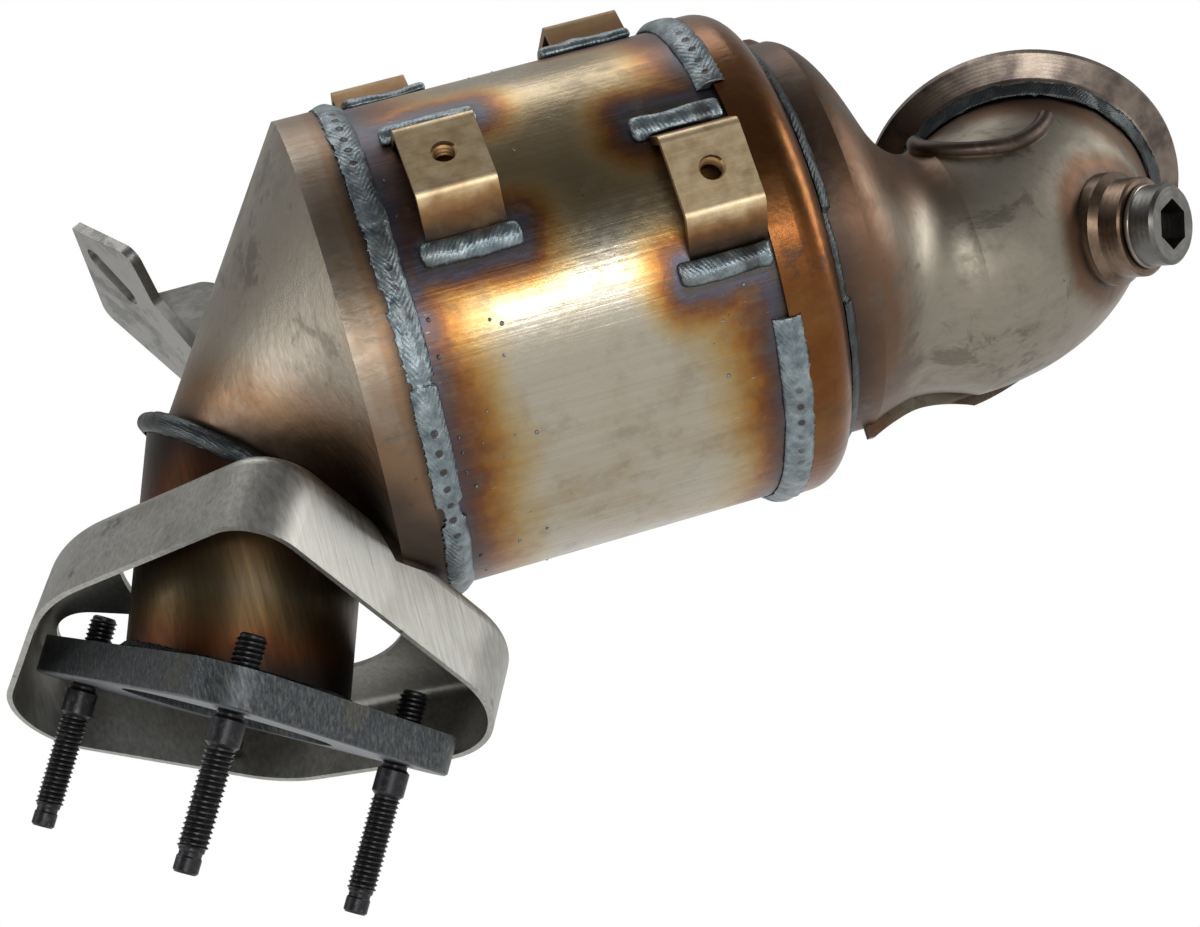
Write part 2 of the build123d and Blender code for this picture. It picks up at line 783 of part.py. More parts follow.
with BuildPart() as plug_gasket_ring:
    with BuildSketch(boss_plane.offset(boss_top + seat)):
        Circle(plug_head_r + gasket_over)
        Circle(plug_thread_r + seat, mode=Mode.SUBTRACT)
    extrude(amount=plug_gasket - seat)
    fillet(plug_gasket_ring.edges().group_by(SortBy.LENGTH)[-1], boss_edge)
plug_gasket_ring.part.label = "plug_gasket"
export_step(plug_gasket_ring.part, "parts/plug_gasket.step")

plug_head_bottom = boss_top + plug_gasket + seat
plug_head_top = plug_head_bottom + plug_head_height
plug_tip = boss_top - plug_length
with BuildPart() as sensor_plug:
    with BuildSketch(upright(boss_plane)):
        with BuildLine():
            Polyline(
                (0, plug_tip),
                (plug_thread_r - plug_edge, plug_tip),
                (plug_thread_r - seat, plug_tip + plug_edge),
                (plug_thread_r - seat, plug_head_bottom),
                (plug_head_r, plug_head_bottom),
                (plug_head_r, plug_head_top - plug_edge),
                (plug_head_r - plug_edge, plug_head_top),
                (0, plug_head_top),
                close=True,
            )
        make_face()
    revolve(axis=boss_axis)
    with BuildSketch(boss_plane.offset(plug_head_top)):
        RegularPolygon(radius=plug_socket / 2, side_count=6, major_radius=False)
    extrude(amount=-plug_socket_depth, mode=Mode.SUBTRACT)
sensor_plug.part.label = "sensor_plug"
export_step(sensor_plug.part, "parts/sensor_plug.step")

# Slotted bracket and the gusset between it and the cone
with BuildPart() as slotted_bracket:
    with BuildSketch(bracket_plane) as plate:
        with BuildLine():
            Polyline((-17.5, 4), (4, 29.5), (16, 13.5), (33, 11), (33, -23), (0, -36.5), close=True)
        make_face()
        fillet(plate.vertices().group_by(Axis((0, 0, 0), (1, 0, 0)))[1:4], bracket_round)
        SlotOverall(slot_length, slot_width, mode=Mode.SUBTRACT)
    extrude(amount=-bracket_sheet)
slotted_bracket.part.label = "slotted_bracket"
export_step(slotted_bracket.part, "parts/slotted_bracket.step")

with BuildPart() as bracket_gusset:
    with BuildSketch(Plane(origin=(0, gusset_y, 0), x_dir=(1, 0, 0), z_dir=(0, -1, 0))) as web:
        with BuildLine():
            Polyline((2.5, 127.2), (26, 127.2), (56, 113), (56, 70), (15.5, 102), (0, 106), close=True)
        make_face()
        fillet(web.vertices().sort_by_distance((26, 127.2))[0], gusset_round)
    extrude(amount=-bracket_sheet)
    split(bisect_by=bracket_plane.offset(-bracket_sheet - seat), keep=Keep.BOTTOM)
    add(ring_space(seat).part, mode=Mode.SUBTRACT)
bracket_gusset.part.label = "bracket_gusset"
export_step(bracket_gusset.part, "parts/bracket_gusset.step")
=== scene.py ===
"""Looks of the catalytic converter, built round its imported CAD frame."""
import json
import math
import random

import bmesh
import bpy
from mathutils import Matrix, Vector, noise


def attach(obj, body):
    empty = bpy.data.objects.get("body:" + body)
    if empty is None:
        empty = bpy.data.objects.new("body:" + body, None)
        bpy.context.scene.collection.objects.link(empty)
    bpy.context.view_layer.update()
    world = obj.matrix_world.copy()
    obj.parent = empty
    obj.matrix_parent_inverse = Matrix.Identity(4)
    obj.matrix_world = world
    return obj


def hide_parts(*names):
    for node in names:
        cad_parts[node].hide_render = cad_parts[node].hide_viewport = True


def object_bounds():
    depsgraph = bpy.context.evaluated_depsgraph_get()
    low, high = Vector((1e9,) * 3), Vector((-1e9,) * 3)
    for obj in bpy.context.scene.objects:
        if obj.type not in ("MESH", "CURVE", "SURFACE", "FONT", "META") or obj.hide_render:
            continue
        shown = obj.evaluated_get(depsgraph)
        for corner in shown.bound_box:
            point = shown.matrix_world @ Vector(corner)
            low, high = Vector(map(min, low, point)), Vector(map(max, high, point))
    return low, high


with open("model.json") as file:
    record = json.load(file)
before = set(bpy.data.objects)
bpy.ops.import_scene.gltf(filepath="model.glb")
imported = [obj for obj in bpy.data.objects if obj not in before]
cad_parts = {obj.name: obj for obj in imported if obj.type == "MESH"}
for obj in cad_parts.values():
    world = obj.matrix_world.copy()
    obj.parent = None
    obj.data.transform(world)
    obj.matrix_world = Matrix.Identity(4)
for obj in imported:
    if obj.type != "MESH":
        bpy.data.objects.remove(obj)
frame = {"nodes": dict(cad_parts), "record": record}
frame_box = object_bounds()

# Lengths and places are in millimetres on the part's own axes
MM = 0.001
ALONG_CAN = Vector((1.0, 0.0, 0.0))

# Can, with its ring welds along it and the clock angle in radians where its upper side begins
CAN_CENTRE = Vector((70.5, 0.0, 82.8))
SHELL_R = 66.0
OUTLET_WELD_X = -2.0
INLET_WELD_X = 91.4
UPPER_CLOCK = 1.75

# Clips, each with its clock angle in degrees and its start along the can
CLIPS = {
    "front_outlet": (64.5, 9.0),
    "front_inlet": (82.8, 71.0),
    "top_outlet": (-11.0, 2.8),
    "top_inlet": (-3.0, 63.4),
}
CLIP_WIDTH = 20.8
CLIP_TOP_R = 75.1
CLIP_FEET = 19.0
CLIP_TAP_R = 3.4
CLIP_TAP_DEPTH = 5.4
CLIP_TAP_SUNK = 0.15
CLIP_TAP_HEIGHT = 0.62
CLIP_TAP_MARGIN = 0.1

# Outlet flange, pipe and studs, each stud with its place along and across the flange
SEAL_NORMAL = Vector((-0.525, 0.0, -0.851)).normalized()
SEAL_LONG = Vector((-0.6217, 0.6828, 0.3836)).normalized()
SEAL_CROSS = SEAL_NORMAL.cross(SEAL_LONG)
FLANGE_T = 10.5
FLANGE_TOP = -SEAL_NORMAL * FLANGE_T
PIPE_AXIS = Vector((0.3535, 0.0, 0.9354)).normalized()
PIPE_LENGTH = 58.0
EXIT_CENTRE = CAN_CENTRE + Vector((-45.9, 0.0, -23.4))
EXIT_NORMAL = Vector((0.676, 0.0, 0.737)).normalized()
CONE_RIDGE_X = -14.0
CONE_EDGE_X = -4.5
STUD_PLACES = {
    "stud_left": (58.2, 0.0),
    "stud_middle": (-33.65, -31.46),
    "stud_right": (-33.65, 31.46),
}
STUD_INNER = 9.0
STUD_LEAD = 2.2
STUD_LEAD_TAPER = 0.9
STUD_COLLAR = 6.6
STUD_COLLAR_R = 4.35
STUD_THREAD = 26.5
STUD_NECK = 0.9
STUD_NECK_R = 2.9
STUD_SHOULDER = 1.3
STUD_DOG = 5.2
STUD_DOG_R = 3.2
STUD_DOG_CUT = 0.6
THREAD_PITCH = 1.3
THREAD_HALF = 0.52
THREAD_R = 3.92
THREAD_ROOT_R = 3.3
THREAD_SUNK = 0.1
THREAD_CUT = 0.5
THREAD_MARGIN = 0.2

# Inlet elbow, ring and boss
ELBOW_WELD_X = 109.0
BOSS_R = 14.0
DUCT_R = 36.0
BEND_R = 36.5
BEND_WAY = Vector((0.0, 0.722, 0.692)).normalized()
BEND_SIDE = ALONG_CAN.cross(BEND_WAY)
BEND_CENTRE = CAN_CENTRE + Vector((153.9, 0.0, -19.5)) + BEND_WAY * BEND_R
RING_CENTRE = CAN_CENTRE + Vector((190.766, 22.487, 2.053))
RING_AXIS = Vector((0.338738, 0.679316, 0.651090)).normalized()
BOSS_CENTRE = CAN_CENTRE + Vector((176.2, 5.5, -14.2))
BOSS_AXIS = Vector((0.578, -0.767, -0.283)).normalized()

# Weld beads, with how unevenly each ring bead is laid, and spatter
RING_BEADS = {
    "outlet_ring_weld": 0.6,
    "inlet_ring_weld": 0.6,
    "elbow_weld": 0.5,
    "pipe_weld": 0.7,
    "flange_weld": 0.4,
    "ring_bead": 1.0,
}
RING_BEAD_ROUNDS = 2
CLIP_BEAD_SWELL = 0.9
CLIP_BEAD_ROUNDS = 12
LAST_BEAD_ROUNDS = 3
BEAD_GRAIN = 0.6
BEAD_LEAST = 0.2
BEAD_MEAN = 0.35
BEAD_SWING = 0.7
BEAD_GROUND = (-8.0, 100.0)
BEAD_GROUND_SKIN = 0.5
CRATER_STEP = 5.2
SOOTY_BELOW_X = -15.0
SOOTY_ABOVE_X = 100.0
SPATTER_SEED = 7
SPATTER_COUNT = 80
SPATTER_NEAR = (5.0, 5.0, 30.0, 82.0)
SPATTER_SPREAD = 8.0
SPATTER_SPAN = (4.0, 84.0)
SPATTER_CLOCKS = (-60.0, 300.0)
SPATTER_SIZES = (0.25, 0.62)
DROP_SHAPE = (1.0, 1.15, 0.7)

# Mesh finish, with the gap of doubles in metres
SMOOTH_ANGLE = math.radians(35.0)
DOUBLES_GAP = 0.000001

# Studio in metres, each lamp with its place, its two sides and its watts
FLOOR_GAP = 0.004
FLOOR_SIZE = 40.0
FLOOR_GREY = (0.75, 0.75, 0.75)
WHITE = (1.0, 1.0, 1.0)
ROOM_STOPS = ((0.15, (0.14, 0.14, 0.145)), (0.75, (0.50, 0.50, 0.50)))
LAMP_AIM = Vector((0.11, 0.0, 0.07))
LAMPS = (
    ("top_box", (0.1, 0.25, 1.1), (0.9, 0.3), 3.0),
    ("front_box", (0.15, -1.15, 0.0), (0.7, 0.08), 5.0),
    ("left_box", (-1.1, -0.2, 0.15), (0.3, 0.8), 6.0),
    ("right_box", (1.2, -0.2, 0.25), (0.3, 0.8), 6.0),
)
CAMERA_PLACE = Vector((0.0169, -0.6426, -0.0382))
CAMERA_RIGHT = Vector((0.9509, -0.1108, -0.2888))
CAMERA_UP = Vector((0.2707, -0.1536, 0.9503))
CAMERA_LENS = 72.0
CAMERA_SENSOR = 36.0
CAMERA_NEAR = 0.01


class Num:
    """A number on a shader socket, so that shader maths reads as Python."""

    def __init__(self, tree, socket):
        self.tree = tree
        self.socket = socket

    def calc(self, operation, *values):
        """Result of one Math node on the given values."""
        maths = self.tree.node("ShaderNodeMath", {"operation": operation}, dict(enumerate(values)))
        return Num(self.tree, maths.outputs[0])

    def __add__(self, other):
        return self.calc("ADD", self, other)

    def __radd__(self, other):
        return self.calc("ADD", other, self)

    def __sub__(self, other):
        return self.calc("SUBTRACT", self, other)

    def __rsub__(self, other):
        return self.calc("SUBTRACT", other, self)

    def __mul__(self, other):
        return self.calc("MULTIPLY", self, other)

    def __rmul__(self, other):
        return self.calc("MULTIPLY", other, self)

    def __truediv__(self, other):
        return self.calc("DIVIDE", self, other)

    def __pow__(self, other):
        return self.calc("POWER", self, other)

    def __neg__(self):
        return self.calc("MULTIPLY", self, -1.0)

    def __abs__(self):
        return self.calc("ABSOLUTE", self)

    def least(self, other):
        """Smaller of two values."""
        return self.calc("MINIMUM", self, other)

    def most(self, other):
        """Larger of two values."""
        return self.calc("MAXIMUM", self, other)

    def sine(self):
        """Sine of the value."""
        return self.calc("SINE", self)

    def root(self):
        """Square root of the value."""
        return self.calc("SQRT", self.most(0.0))

    def step(self, start, end):
        """Smooth climb from 0 at start to 1 at end."""
        values = {"Value": self, "From Min": start, "From Max": end, "To Min": 0.0, "To Max": 1.0}
        steps = self.tree.node("ShaderNodeMapRange", {"interpolation_type": "SMOOTHSTEP"}, values)
        return Num(self.tree, steps.outputs["Result"])


class Tree:
    """A material's or a world's node tree, filled node by node."""

    def __init__(self, owner):
        owner.use_nodes = True
        self.tree = owner.node_tree
        self.tree.nodes.clear()

    def node(self, kind, settings, values):
        """Adds a node, sets it up and then fills or links its inputs."""
        node = self.tree.nodes.new(kind)
        for name, value in settings.items():
            if name == "stops":
                self.set_stops(node.color_ramp, value)
            else:
                setattr(node, name, value)
        for name, value in values.items():
            self.feed(node.inputs[name], value)
        return node

    def set_stops(self, ramp, stops):
        """Fills a colour ramp with (position, colour) stops."""
        while len(ramp.elements) < len(stops):
            ramp.elements.new(0.5)
        for element, (position, colour) in zip(ramp.elements, stops):
            element.position = position
            element.color = (*colour, 1.0)

    def feed(self, socket, value):
        """Links a socket or gives it a value."""
        if isinstance(value, Num):
            self.tree.links.new(value.socket, socket)
        elif isinstance(value, bpy.types.NodeSocket):
            self.tree.links.new(value, socket)
        elif socket.type == "RGBA" and len(value) == 3:
            socket.default_value = (*value, 1.0)
        else:
            socket.default_value = value

    def ramp(self, factor, stops):
        """Colour picked along stops by a factor."""
        return self.node("ShaderNodeValToRGB", {"stops": stops}, {"Fac": factor}).outputs["Color"]

    def rays(self, *kinds):
        """1 for the named kinds of ray, and 0 for all others."""
        path = self.node("ShaderNodeLightPath", {}, {}).outputs
        seen = Num(self, path[kinds[0]])
        for kind in kinds[1:]:
            seen = seen.most(Num(self, path[kind]))
        return seen

    def blend(self, factor, first, second, output):
        """Second shader laid over the first by a factor, on the tree's output."""
        values = {0: factor, 1: first.outputs[0], 2: second.outputs[0]}
        mixed = self.node("ShaderNodeMixShader", {}, values)
        self.node(output, {}, {"Surface": mixed.outputs[0]})


class Look(Tree):
    """One procedural material in millimetres on the can's axes."""

    def __init__(self, name):
        self.material = bpy.data.materials.new(name)
        super().__init__(self.material)
        place = self.node("ShaderNodeTexCoord", {}, {}).outputs["Object"]
        values = {"Vector": place, "Location": -CAN_CENTRE, "Scale": (1.0 / MM,) * 3}
        self.place = self.node("ShaderNodeMapping", {}, values).outputs["Vector"]
        parts = self.node("ShaderNodeSeparateXYZ", {}, {"Vector": self.place})
        self.x, self.y, self.z = (Num(self, part) for part in parts.outputs)
        self.clock = self.y.calc("ARCTAN2", -self.y, self.z)

    def stretched(self, scale, turn=(0.0, 0.0, 0.0)):
        """The place with each axis scaled, for drawn-out patterns."""
        values = {"Vector": self.place, "Scale": scale, "Rotation": turn}
        return self.node("ShaderNodeMapping", {}, values).outputs["Vector"]

    def noise(self, scale, detail=3.0, rough=0.55, place=None, warp=0.0):
        """Noise from 0 to 1 with the given cycles per millimetre."""
        values = {
            "Vector": place or self.place,
            "Scale": scale,
            "Detail": detail,
            "Roughness": rough,
            "Distortion": warp,
        }
        return Num(self, self.node("ShaderNodeTexNoise", {}, values).outputs[0])

    def cells(self, scale):
        """Distance to the nearest of many scattered points."""
        values = {"Vector": self.place, "Scale": scale}
        return Num(self, self.node("ShaderNodeTexVoronoi", {}, values).outputs["Distance"])

    def mix(self, factor, first, second):
        """Second colour laid over the first by a factor."""
        return self.node("ShaderNodeMix", {"data_type": "RGBA"}, {0: factor, 6: first, 7: second}).outputs[2]

    def offset(self, centre):
        """Shaded place measured from a centre."""
        settings = {"operation": "SUBTRACT"}
        return self.node("ShaderNodeVectorMath", settings, {0: self.place, 1: centre - CAN_CENTRE}).outputs[0]

    def along(self, centre, axis):
        """Distance along an axis through a centre, in millimetres."""
        settings = {"operation": "DOT_PRODUCT"}
        dot = self.node("ShaderNodeVectorMath", settings, {0: self.offset(centre), 1: axis})
        return Num(self, dot.outputs["Value"])

    def away(self, centre, axis):
        """Distance from an axis through a centre, in millimetres."""
        settings = {"operation": "CROSS_PRODUCT"}
        cross = self.node("ShaderNodeVectorMath", settings, {0: self.offset(centre), 1: axis})
        length = self.node("ShaderNodeVectorMath", {"operation": "LENGTH"}, {0: cross.outputs[0]})
        return Num(self, length.outputs["Value"])

    def finish(self, colour, rough, metal, height, depth):
        """Surface shader with a bump whose depth is in millimetres."""
        bump = self.node("ShaderNodeBump", {}, {"Height": height, "Distance": depth * MM, "Strength": 1.0})
        values = {
            "Base Color": colour,
            "Roughness": rough,
            "Metallic": metal,
            "Normal": bump.outputs["Normal"],
        }
        surface = self.node("ShaderNodeBsdfPrincipled", {}, values)
        self.node("ShaderNodeOutputMaterial", {}, {"Surface": surface.outputs[0]})
        return self.material


TINT_STOPS = (
    (0.00, (0.38, 0.345, 0.28)),
    (0.20, (0.38, 0.31, 0.195)),
    (0.38, (0.33, 0.215, 0.085)),
    (0.54, (0.26, 0.12, 0.03)),
    (0.66, (0.15, 0.055, 0.02)),
    (0.78, (0.085, 0.045, 0.035)),
    (0.90, (0.06, 0.06, 0.085)),
    (1.00, (0.05, 0.046, 0.044)),
)


def tint_from(distance, reach):
    """Heat tint from 1 at the weld to 0 at its reach."""
    return (1.0 - distance / reach).most(0.0)


def can_heat(look):
    """Heat on the can from both ring welds and from the clips' feet."""
    ragged = (look.noise(0.09, 5.0, 0.62) - 0.5) * 12.0 + (look.noise(0.5, 3.0) - 0.5) * 2.0
    edge = look.noise(0.022, 2.0) * 1.2 + 0.5
    upper = (UPPER_CLOCK - look.clock).step(-0.2, 0.7) * (look.clock + 1.2).step(0.0, 0.6)
    outlet = tint_from(abs(look.x - OUTLET_WELD_X) + ragged, edge * (27.0 + upper * 9.0))
    inlet = tint_from(abs(look.x - INLET_WELD_X) + ragged, edge * 24.0)
    heat = outlet.most(inlet)
    for clock, start in CLIPS.values():
        place = look.clock - math.radians(clock)
        turn = place.calc("WRAP", place, math.pi, -math.pi)
        side = abs(abs(turn) * SHELL_R - CLIP_FEET - 3.0) - 3.0
        run = abs(look.x - (start + CLIP_WIDTH / 2)) - CLIP_WIDTH / 2 - 2.0
        far = (side.most(0.0) ** 2.0 + run.most(0.0) ** 2.0).root()
        heat = heat.most(tint_from(far + ragged * 0.6, edge * 16.0))
    return heat.least(1.0)


def streaks(look, turn=(0.0, 0.0, 0.0), length=(0.02, 0.9, 0.9)):
    """Fine drawn-out rolling marks."""
    return look.noise(1.0, 4.0, 0.6, look.stretched(length, turn))


def can_look():
    """Heat-tinted stainless sheet of the can, with painted shade darkening its upper side in patches."""
    look = Look("can_steel")
    heat = can_heat(look)
    colour = look.ramp(heat, TINT_STOPS)
    upper = (UPPER_CLOCK - look.clock).step(-0.2, 0.7)
    blotch = (look.noise(0.025, 5.0, 0.65) + upper * 0.16).step(0.40, 0.72)
    cool = 1.0 - heat.step(0.15, 0.42)
    colour = look.mix(blotch * cool * 0.75, colour, (0.27, 0.19, 0.085))
    # Painted shade: the upper side of the can darkened in patches, away from the heat tint.
    painted_shade = upper * look.noise(0.03, 3.0).step(0.3, 0.7) * cool
    colour = look.mix(painted_shade * 0.35, colour, (0.13, 0.11, 0.07))
    marks = streaks(look)
    colour = look.mix((marks - 0.35) * 0.55, colour, (0.15, 0.12, 0.08))
    cloud = look.noise(0.12, 5.0, 0.65).step(0.48, 0.7)
    colour = look.mix(cloud * 0.28, colour, (0.16, 0.13, 0.09))
    nicks = look.noise(1.0, 2.0, 0.5, look.stretched((0.25, 1.6, 1.6), (0.5, 0.3, 0.2))).step(0.74, 0.80)
    colour = look.mix(nicks * 0.6, colour, (0.6, 0.56, 0.46))
    specks = 1.0 - look.cells(0.30).step(0.03, 0.10)
    colour = look.mix(specks * look.noise(0.05).step(0.5, 0.65) * 0.8, colour, (0.05, 0.035, 0.025))
    rough = 0.19 + marks * 0.16 + heat * 0.14 + cloud * 0.08
    return look.finish(colour, rough, 1.0, marks + look.noise(0.25) * 2.0, 0.05)


def sheet_look(name, base, dark, brown, heat_and_shade_of, rough=0.34):
    """Dull heat-tinted sheet with smudges and a brown edge where it was welded; the heat it is given carries
    painted shade too for the elbow and the cone.
    """
    look = Look(name)
    heat = heat_and_shade_of(look)
    marks = streaks(look, (0.0, 0.6, 0.4), (0.08, 0.9, 0.25))
    smudge = look.noise(0.06, 5.0, 0.65).step(0.48, 0.72)
    grime = look.noise(0.25, 5.0, 0.7).step(0.55, 0.75)
    colour = look.mix(smudge * 0.45, base, dark)
    colour = look.mix(grime * 0.35, colour, dark)
    colour = look.mix((marks - 0.3) * 0.45, colour, dark)
    # Heat tint turns the sheet brown and then dark; for the elbow and the cone the same heat also carries
    # painted shade.
    colour = look.mix(heat.step(0.12, 0.6) * 0.9, colour, brown)
    colour = look.mix(heat.step(0.6, 0.95) * 0.85, colour, (0.045, 0.035, 0.03))
    patch = look.noise(0.05, 6.0, 0.72, None, 0.6).step(0.55, 0.63)
    colour = look.mix(patch * 0.6, colour, dark)
    rust = look.noise(0.09, 5.0, 0.75).step(0.69, 0.74)
    colour = look.mix(rust * 0.7, colour, (0.075, 0.04, 0.02))
    spots = 1.0 - look.cells(0.12).step(0.03, 0.09)
    colour = look.mix(spots * look.noise(0.03).step(0.55, 0.65) * 0.8, colour, (0.05, 0.03, 0.02))
    return look.finish(colour, rough + marks * 0.16 + smudge * 0.1, 1.0, marks + look.noise(0.3) * 1.5, 0.06)


def cone_heat_and_shade(look):
    """Heat tint on the cone: its whole collar band and the edge at the pipe, with the tint at the pipe joint
    drawn wide as painted shade where the guard and the pipe shade the cone.
    """
    ragged = (look.noise(0.08, 4.0) - 0.5) * 8.0
    collar = tint_from((CONE_RIDGE_X - look.x).most(0.0) + ragged + 6.0, 14.0)
    weld = tint_from(abs(look.x - CONE_EDGE_X) + ragged * 0.5, 9.0)
    # Heat tint at the pipe joint, reaching far enough to lay painted shade on the cone where the guard and
    # the pipe shade it.
    joint_heat_and_shade = tint_from(abs(look.along(EXIT_CENTRE, EXIT_NORMAL)) + ragged * 0.9, 30.0)
    return (collar * 0.7).most(weld).most(joint_heat_and_shade)


def elbow_heat_and_shade(look):
    """Heat tint on the elbow near its welds at the cap, the ring and the boss, its seam lip made darkest, and
    painted shade on the upper side of its neck.
    """
    ragged = (look.noise(0.07, 4.0) - 0.5) * 10.0
    cap = tint_from(abs(look.x - ELBOW_WELD_X) + ragged, 32.0)
    ring = tint_from(abs(look.along(RING_CENTRE, RING_AXIS) + 8.0) + ragged, 20.0)
    along_x = look.along(BEND_CENTRE, ALONG_CAN)
    out_way = look.along(BEND_CENTRE, BEND_WAY)
    across = look.along(BEND_CENTRE, BEND_SIDE)
    ring_way = (along_x ** 2.0 + out_way ** 2.0).root() - BEND_R
    proud = (ring_way ** 2.0 + across ** 2.0).root() - DUCT_R
    lip = proud.step(-0.1, 0.9) * along_x.step(-9.0, -4.0)
    # Painted shade: the upper side of the neck darkened, fading out before the ring.
    painted_shade = (look.z + ragged).step(-24.0, 4.0) * 0.5 * (170.0 - look.x).step(0.0, 22.0)
    boss = tint_from((look.away(BOSS_CENTRE, BOSS_AXIS) - BOSS_R).most(0.0) + ragged * 0.6, 12.0)
    return cap.most(ring).most(boss).most(lip).most(painted_shade)


def cap_heat(look):
    """Heat all over the cap, in clouds."""
    return 0.40 + (look.noise(0.05, 5.0, 0.7) - 0.5) * 1.5


def bare_heat(look):
    """Hardly any heat, with a little brown here and there."""
    return look.noise(0.05, 3.0).step(0.5, 0.8) * 0.25


def pipe_heat(look):
    """Heat on the pipe at both of its welds."""
    ragged = (look.noise(0.08, 4.0) - 0.5) * 10.0
    low = tint_from(look.along(FLANGE_TOP, PIPE_AXIS) + ragged, 22.0)
    high = tint_from(PIPE_LENGTH - look.along(FLANGE_TOP, PIPE_AXIS) + ragged, 38.0)
    return low.most(high)


def pipe_look():
    """Brown tinted pipe with marks along it."""
    look = Look("pipe_steel")
    heat = pipe_heat(look)
    turn = (0.0, -PIPE_AXIS.angle(Vector((0.0, 0.0, 1.0))), 0.0)
    marks = streaks(look, turn, (0.6, 0.6, 0.015))
    colour = look.ramp(heat, (
        (0.0, (0.075, 0.058, 0.033)),
        (0.35, (0.075, 0.045, 0.02)),
        (0.65, (0.075, 0.026, 0.01)),
        (1.0, (0.02, 0.014, 0.012)),
    ))
    colour = look.mix((marks - 0.35) * 1.6, colour, (0.02, 0.015, 0.01))
    return look.finish(colour, 0.32 + marks * 0.2, 1.0, marks, 0.06)


def weld_look():
    """Blue-grey weld metal with faint ripples and a row of small craters."""
    look = Look("weld_metal")
    wobble = look.noise(0.12, 3.0) * 5.0
    across = abs(look.x - OUTLET_WELD_X).least(abs(look.x - INLET_WELD_X))
    round_way = look.clock * SHELL_R
    ripple = ((round_way + across * 1.6 + wobble) * 3.2).sine()
    crust = look.noise(0.22, 5.0, 0.65)
    colour = look.ramp(crust + ripple * 0.012, (
        (0.28, (0.075, 0.095, 0.105)),
        (0.45, (0.15, 0.185, 0.20)),
        (0.60, (0.24, 0.28, 0.29)),
        (0.74, (0.36, 0.39, 0.38)),
    ))
    cell = round_way / CRATER_STEP
    gap = (cell - cell.calc("FLOOR", cell) - 0.5) * CRATER_STEP
    crater = 1.0 - (gap ** 2.0 + across ** 2.0).root().step(0.7, 1.25)
    crater = crater * look.noise(0.03, 2.0).step(0.48, 0.56)
    pits = 1.0 - look.cells(0.09).step(0.04, 0.09)
    colour = look.mix(crater.most(pits) * 0.85, colour, (0.045, 0.03, 0.025))
    rim = look.noise(0.10, 4.0).step(0.52, 0.72)
    colour = look.mix(rim * 0.35, colour, (0.09, 0.055, 0.035))
    edge = (across + (look.noise(0.3, 3.0) - 0.5) * 2.0).step(3.0, 4.4) * (8.0 - across).step(0.0, 1.0)
    colour = look.mix(edge * 0.7, colour, (0.05, 0.045, 0.045))
    sooty = (look.x - SOOTY_ABOVE_X).step(0.0, 4.0).most((SOOTY_BELOW_X - look.x).step(0.0, 4.0))
    colour = look.mix(sooty * 0.85, colour, (0.022, 0.022, 0.021))
    height = ripple * 0.12 + crust * 2.0 - crater * 1.2 - pits
    return look.finish(colour, 0.34 + crust * 0.15, 0.9, height, 0.22)


def flange_look():
    """Scaled dark flange with a lighter machined face."""
    look = Look("flange_steel")
    side = look.along(Vector((0.0, 0.0, 0.0)), SEAL_NORMAL)
    cuts = look.noise(1.0, 4.0, 0.7, look.stretched((1.2, 1.2, 0.25), (0.4, 0.5, 0.0)))
    colour = look.ramp(cuts, (
        (0.30, (0.025, 0.029, 0.034)),
        (0.50, (0.06, 0.066, 0.07)),
        (0.72, (0.14, 0.145, 0.135)),
    ))
    colour = look.mix(side.step(-0.4, -0.1), colour, (0.13, 0.135, 0.15))
    colour = look.mix(look.noise(0.07, 4.0).step(0.55, 0.75) * 0.4, colour, (0.12, 0.10, 0.05))
    return look.finish(colour, 0.38 + cuts * 0.15, 0.9, cuts, 0.15)


def guard_look():
    """Raw pressed sheet with fine cross scratches."""
    look = Look("guard_steel")
    marks = look.noise(1.0, 3.0, 0.6, look.stretched((0.9, 0.9, 0.06), (0.45, -0.55, 0.0)))
    soft = look.noise(0.05, 3.0)
    colour = look.mix(marks, (0.18, 0.175, 0.155), (0.52, 0.515, 0.48))
    colour = look.mix(soft.step(0.45, 0.75) * 0.45, colour, (0.13, 0.12, 0.09))
    rubbed = look.noise(0.09, 5.0, 0.7).step(0.60, 0.72)
    colour = look.mix(rubbed * 0.6, colour, (0.05, 0.045, 0.04))
    spots = 1.0 - look.cells(0.06).step(0.02, 0.05)
    colour = look.mix(spots * 0.7, colour, (0.05, 0.04, 0.035))
    return look.finish(colour, 0.38 + marks * 0.14, 1.0, marks, 0.06)


def clip_look():
    """Golden tinted clip, darker toward its welded feet."""
    look = Look("clip_steel")
    radius = (look.y ** 2.0 + look.z ** 2.0).root()
    ragged = (look.noise(0.2, 4.0) - 0.5) * 5.0
    heat = tint_from(radius - SHELL_R + ragged, 12.5)
    colour = look.ramp(heat, (
        (0.0, (0.85, 0.75, 0.57)),
        (0.24, (0.62, 0.48, 0.29)),
        (0.42, (0.32, 0.19, 0.085)),
        (0.60, (0.16, 0.075, 0.03)),
        (0.85, (0.06, 0.04, 0.03)),
    ))
    upper = (0.5 - look.clock).step(0.0, 0.3)
    colour = look.mix(upper * 0.75, colour, (0.17, 0.095, 0.04))
    stain = look.noise(0.11, 5.0, 0.65).step(0.45, 0.7)
    colour = look.mix(stain * 0.4, colour, (0.22, 0.135, 0.065))
    marks = streaks(look, (0.0, 0.0, 0.0), (0.05, 0.8, 0.8))
    colour = look.mix((marks - 0.35) * 0.6, colour, (0.12, 0.09, 0.05))
    return look.finish(colour, 0.42 + marks * 0.12, 1.0, marks, 0.04)


